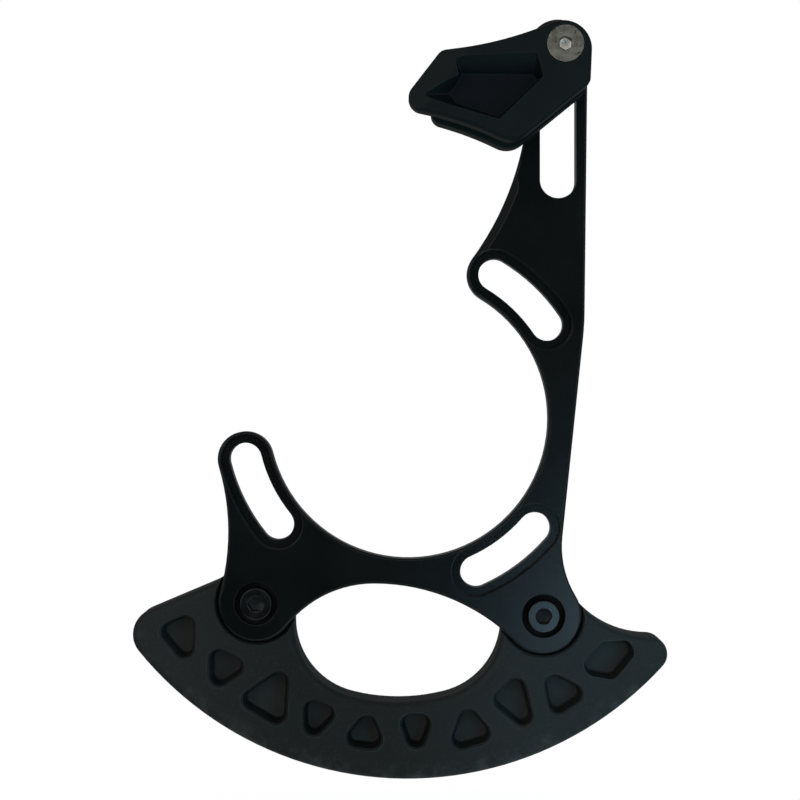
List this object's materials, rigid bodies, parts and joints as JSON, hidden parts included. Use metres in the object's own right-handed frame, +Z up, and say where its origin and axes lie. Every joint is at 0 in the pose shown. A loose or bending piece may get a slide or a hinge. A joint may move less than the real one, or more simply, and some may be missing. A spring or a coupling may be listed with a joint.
{
  "type": "chain guide",
  "caption": "Bicycle chain guide: slotted aluminium backplate, upper guide that slides on its arm, and a moulded plastic guard below the chainring.",
  "frame": {"origin": "bottom bracket axis, on the backplate's face that lies against the frame tabs", "axes": "+Y from the drive side into the frame along the bottom bracket axis, +Z up, +X to the front of the bicycle"},
  "size_m": [0.1171, 0.03, 0.1657],
  "materials": {
    "black_anodised": "satin",
    "guard_nylon": "matte",
    "guide_nylon": "matte",
    "black_steel": "satin",
    "stainless_steel": "satin"
  },
  "bodies": {
    "plate_side": {"backplate": "black_anodised", "bash_guard": "guard_nylon", "guard_screws": "black_steel", "guard_nuts": "stainless_steel"},
    "upper_guide": {"upper_guide_outer": "guide_nylon", "upper_guide_inner": "guide_nylon", "guide_bolt": "stainless_steel", "guide_washer": "stainless_steel", "guide_nut": "stainless_steel"}
  },
  "joints": [
    {"name": "guide_height", "type": "slide", "parent": "plate_side", "child": "upper_guide", "axis": [0, 0, 1], "range_m": [-0.0239, 0]}
  ]
}
